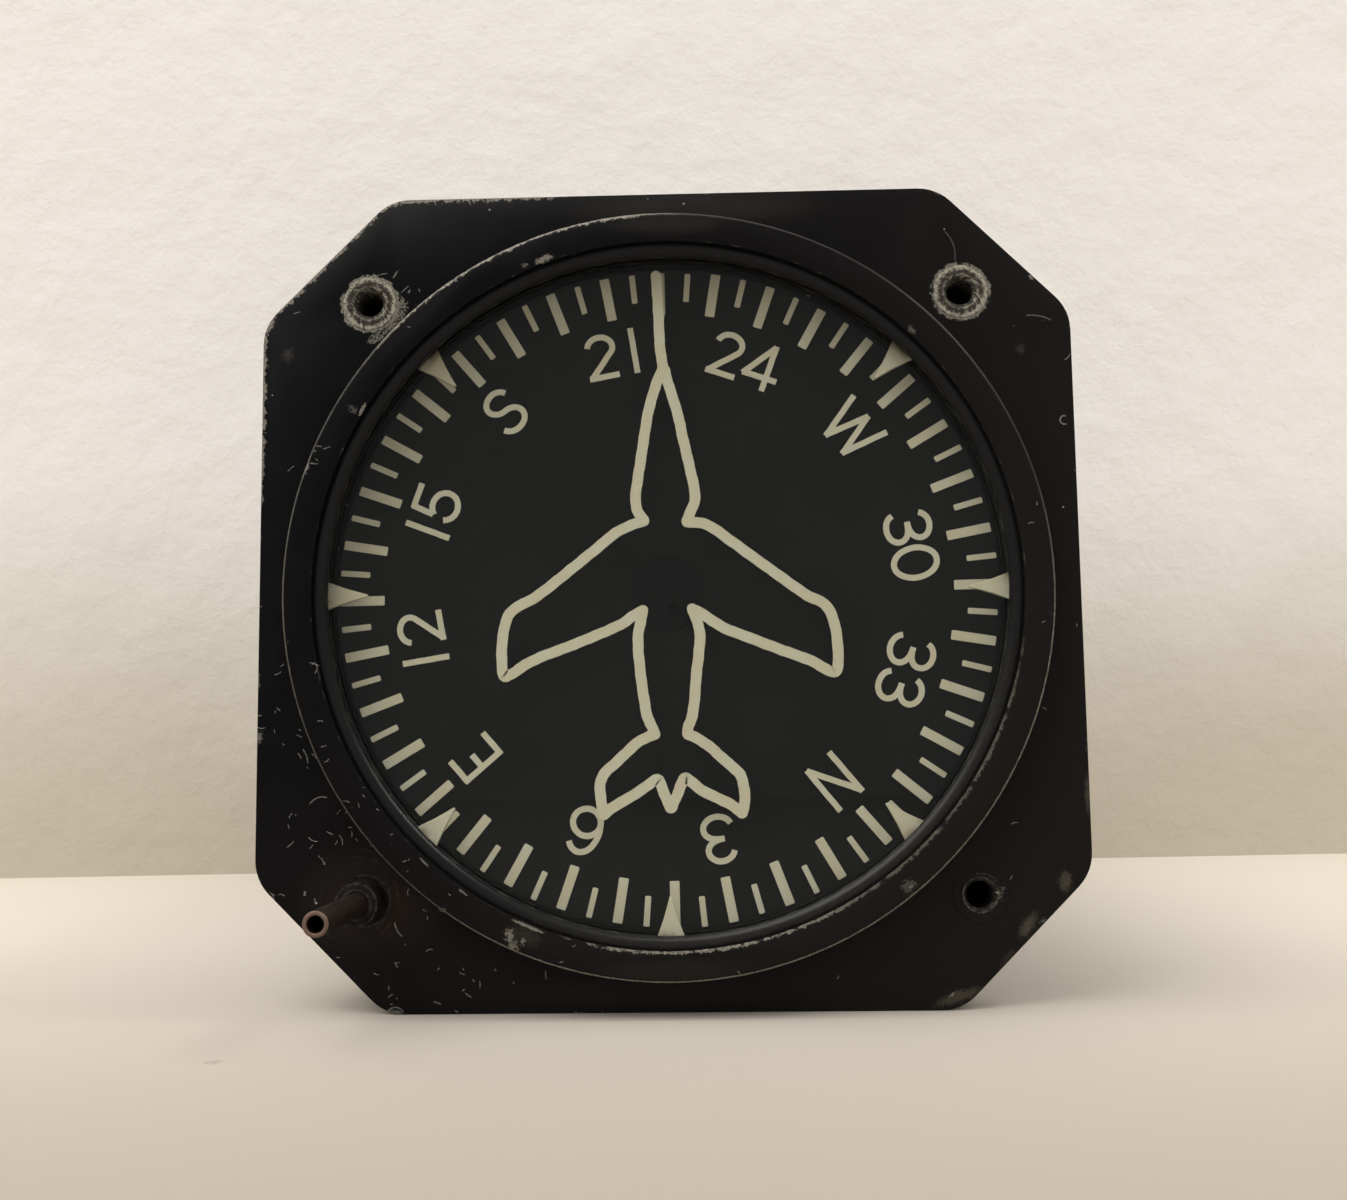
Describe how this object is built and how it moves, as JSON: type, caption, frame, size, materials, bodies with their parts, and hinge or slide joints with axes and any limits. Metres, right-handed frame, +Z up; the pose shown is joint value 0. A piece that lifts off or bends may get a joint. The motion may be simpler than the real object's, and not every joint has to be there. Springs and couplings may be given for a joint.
{
  "type": "directional gyro indicator",
  "caption": "Air-driven directional gyro indicator for a round aircraft panel cut-out, with a rotating compass card, a geared setting train and a bare adjuster shaft.",
  "frame": {"origin": "dial axis at the front face of the flange, where the bezel rises from it", "axes": "-Y points at the pilot, +Y back along the barrel, +X to the right of the dial, +Z up to the top index"},
  "size_m": [0.0858, 0.1468, 0.0858],
  "materials": {
    "case_enamel": "worn satin black enamel",
    "insert_metal": "rough worn metal",
    "ring_steel": "dull blackened steel",
    "cover_glass": "clear",
    "print_cream": "aged cream paint",
    "mask_black": "flat black",
    "gasket_rubber": "matte",
    "card_black": "flat greenish black",
    "plain_steel": "fine ground",
    "cast_alloy": "fine cast",
    "gear_brass": "machined",
    "shaft_brown": "stained brown",
    "bush_black": "worn black",
    "clutch_cork": "pressed cork and leather",
    "filter_felt": "felt"
  },
  "bodies": {
    "housing": {"case": "case_enamel", "mount_inserts": "insert_metal", "retaining_ring": "ring_steel", "cover_glass": "cover_glass", "aircraft_symbol": "print_cream", "index_pointers": "print_cream", "dial_mask": "mask_black", "glass_gasket": "gasket_rubber", "shaft_bush": "bush_black", "spring_seat": "plain_steel", "return_spring": "plain_steel", "housing_cap": "cast_alloy", "card_bracket": "cast_alloy", "bracket_screws": "plain_steel", "card_bearings": "plain_steel", "idler_stud": "plain_steel", "upper_pivot_block": "cast_alloy", "lower_pivot_block": "cast_alloy", "pivot_bearings": "plain_steel", "block_screws": "plain_steel", "air_tube": "gear_brass", "rear_gasket": "gasket_rubber", "rear_cover": "case_enamel", "cover_screws": "plain_steel", "vacuum_nipple": "gear_brass", "filter_housing": "cast_alloy", "air_filter": "filter_felt", "filter_cap": "cast_alloy", "filter_screw": "plain_steel"},
    "card": {"compass_card": "card_black", "card_markings": "print_cream", "card_hub": "mask_black", "card_spindle": "plain_steel", "setting_gear": "gear_brass", "card_bevel_gear": "gear_brass"},
    "idler": {"idler_gear": "gear_brass"},
    "clutch_driver": {"clutch_gear": "gear_brass"},
    "push_slide": {"thrust_washer": "plain_steel"},
    "adjuster": {"adjuster_shaft": "shaft_brown", "shaft_clip": "plain_steel", "clutch_disc": "gear_brass", "clutch_facing": "clutch_cork"},
    "gimbal_frame": {"outer_gimbal": "cast_alloy", "gimbal_bevel_gear": "gear_brass", "gear_screws": "plain_steel", "vertical_pivots": "plain_steel", "tilt_bearings": "plain_steel", "air_nozzles": "gear_brass"},
    "rotor_frame": {"inner_gimbal": "cast_alloy", "tilt_pivots": "plain_steel", "rotor_bearings": "plain_steel", "bearing_caps": "gear_brass", "balance_nuts": "gear_brass"},
    "gyro_rotor": {"rotor": "gear_brass", "rotor_shaft": "plain_steel"}
  },
  "joints": [
    {"name": "gimbal_turn", "type": "hinge", "parent": "housing", "child": "gimbal_frame", "pos_m": [0, 0.05502, 0], "axis": [0, 0, 1], "continuous": true},
    {"name": "card_turn", "type": "hinge", "parent": "housing", "child": "card", "pos_m": [0, 0.01, 0], "axis": [0, 1, 0], "continuous": true},
    {"name": "idler_turn", "type": "hinge", "parent": "housing", "child": "idler", "pos_m": [-0.02577, 0.0212, -0.02577], "axis": [0, 1, 0], "continuous": true},
    {"name": "clutch_gear_turn", "type": "hinge", "parent": "housing", "child": "clutch_driver", "pos_m": [-0.03143, 0.0242, -0.03143], "axis": [0, 1, 0], "continuous": true},
    {"name": "gimbal_tilt", "type": "hinge", "parent": "gimbal_frame", "child": "rotor_frame", "pos_m": [0, 0.05502, 0], "axis": [1, 0, 0], "range_deg": [-85, 85]},
    {"name": "rotor_spin", "type": "hinge", "parent": "rotor_frame", "child": "gyro_rotor", "pos_m": [0, 0.05502, 0], "axis": [0, 1, 0], "continuous": true},
    {"name": "adjuster_push", "type": "slide", "parent": "housing", "child": "push_slide", "axis": [0, 1, 0], "range_m": [0, 0.003], "stiffness_N_per_m": 200, "springref_m": -0.003, "deforming": ["return_spring"]},
    {"name": "adjuster_turn", "type": "hinge", "parent": "push_slide", "child": "adjuster", "pos_m": [-0.03143, 0, -0.03143], "axis": [0, 1, 0], "continuous": true}
  ],
  "couplings": [
    {"joint": "card_turn", "follows": "gimbal_turn", "ratio": -1},
    {"joint": "idler_turn", "follows": "gimbal_turn", "ratio": 8.1},
    {"joint": "clutch_gear_turn", "follows": "gimbal_turn", "ratio": -8.1}
  ]
}
